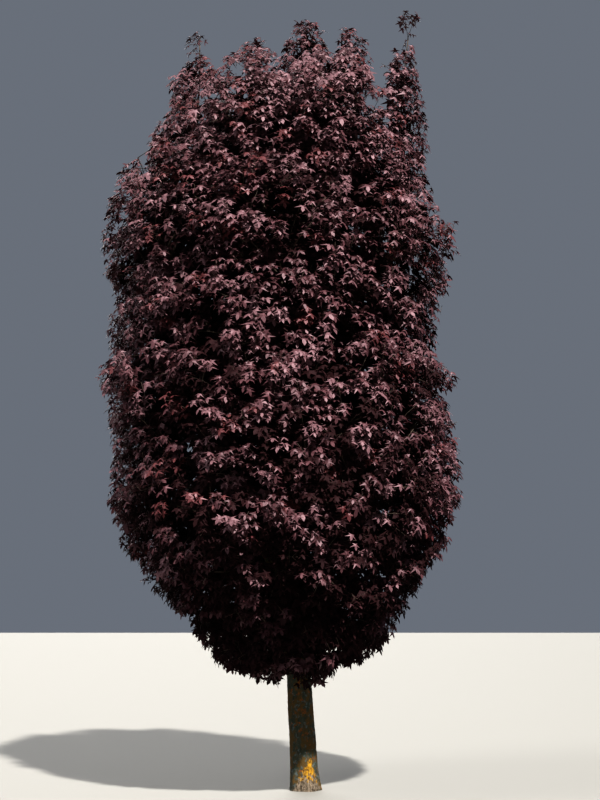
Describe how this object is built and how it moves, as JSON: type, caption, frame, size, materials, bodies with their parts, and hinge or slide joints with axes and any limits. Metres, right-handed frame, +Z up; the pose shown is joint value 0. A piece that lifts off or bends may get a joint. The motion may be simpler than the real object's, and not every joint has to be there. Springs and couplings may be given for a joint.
{
  "type": "norway maple tree",
  "caption": "Upright broadleaf tree with a short bare trunk, steep boughs and a tall dense crown of dark purple-brown lobed leaves, fixed at the ground",
  "frame": {"origin": "middle of the flat cut under the trunk, at ground level", "axes": "+Z up along the trunk, -Y towards the viewer of the picture's front, +X to the viewer's right"},
  "size_m": [4.0071, 3.9518, 8.67],
  "materials": {
    "bark": "grey-brown fissured bark with grey-green film and rust-orange and yellow lichen",
    "leaves": "dark maroon to purple-brown leaves with a soft mauve sheen"
  },
  "bodies": {
    "root": {"bough_plume_back_left": "bark", "bough_plume_back_right": "bark", "bough_plume_front_left": "bark", "bough_plume_front_right": "bark", "bough_plume_leader": "bark", "bough_plume_left": "bark", "bough_shoulder_1": "bark", "bough_shoulder_2": "bark", "bough_shoulder_3": "bark", "bough_shoulder_4": "bark", "bough_shoulder_5": "bark", "bough_shoulder_6": "bark", "bough_skirt_1": "bark", "bough_skirt_2": "bark", "bough_skirt_3": "bark", "bough_skirt_4": "bark", "bough_skirt_5": "bark", "bough_waist_1": "bark", "bough_waist_2": "bark", "bough_waist_3": "bark", "bough_waist_4": "bark", "bough_waist_5": "bark", "bough_waist_6": "bark", "foliage_plume_back_left": "leaves", "foliage_plume_back_right": "leaves", "foliage_plume_centre": "leaves", "foliage_plume_front_left": "leaves", "foliage_plume_front_right": "leaves", "foliage_plume_leader": "leaves", "foliage_plume_left": "leaves", "foliage_shoulder_1": "leaves", "foliage_shoulder_2": "leaves", "foliage_shoulder_3": "leaves", "foliage_shoulder_4": "leaves", "foliage_shoulder_5": "leaves", "foliage_shoulder_6": "leaves", "foliage_skirt_1": "leaves", "foliage_skirt_2": "leaves", "foliage_skirt_3": "leaves", "foliage_skirt_4": "leaves", "foliage_skirt_5": "leaves", "foliage_waist_1": "leaves", "foliage_waist_2": "leaves", "foliage_waist_3": "leaves", "foliage_waist_4": "leaves", "foliage_waist_5": "leaves", "foliage_waist_6": "leaves", "trunk": "bark"}
  },
  "joints": []
}
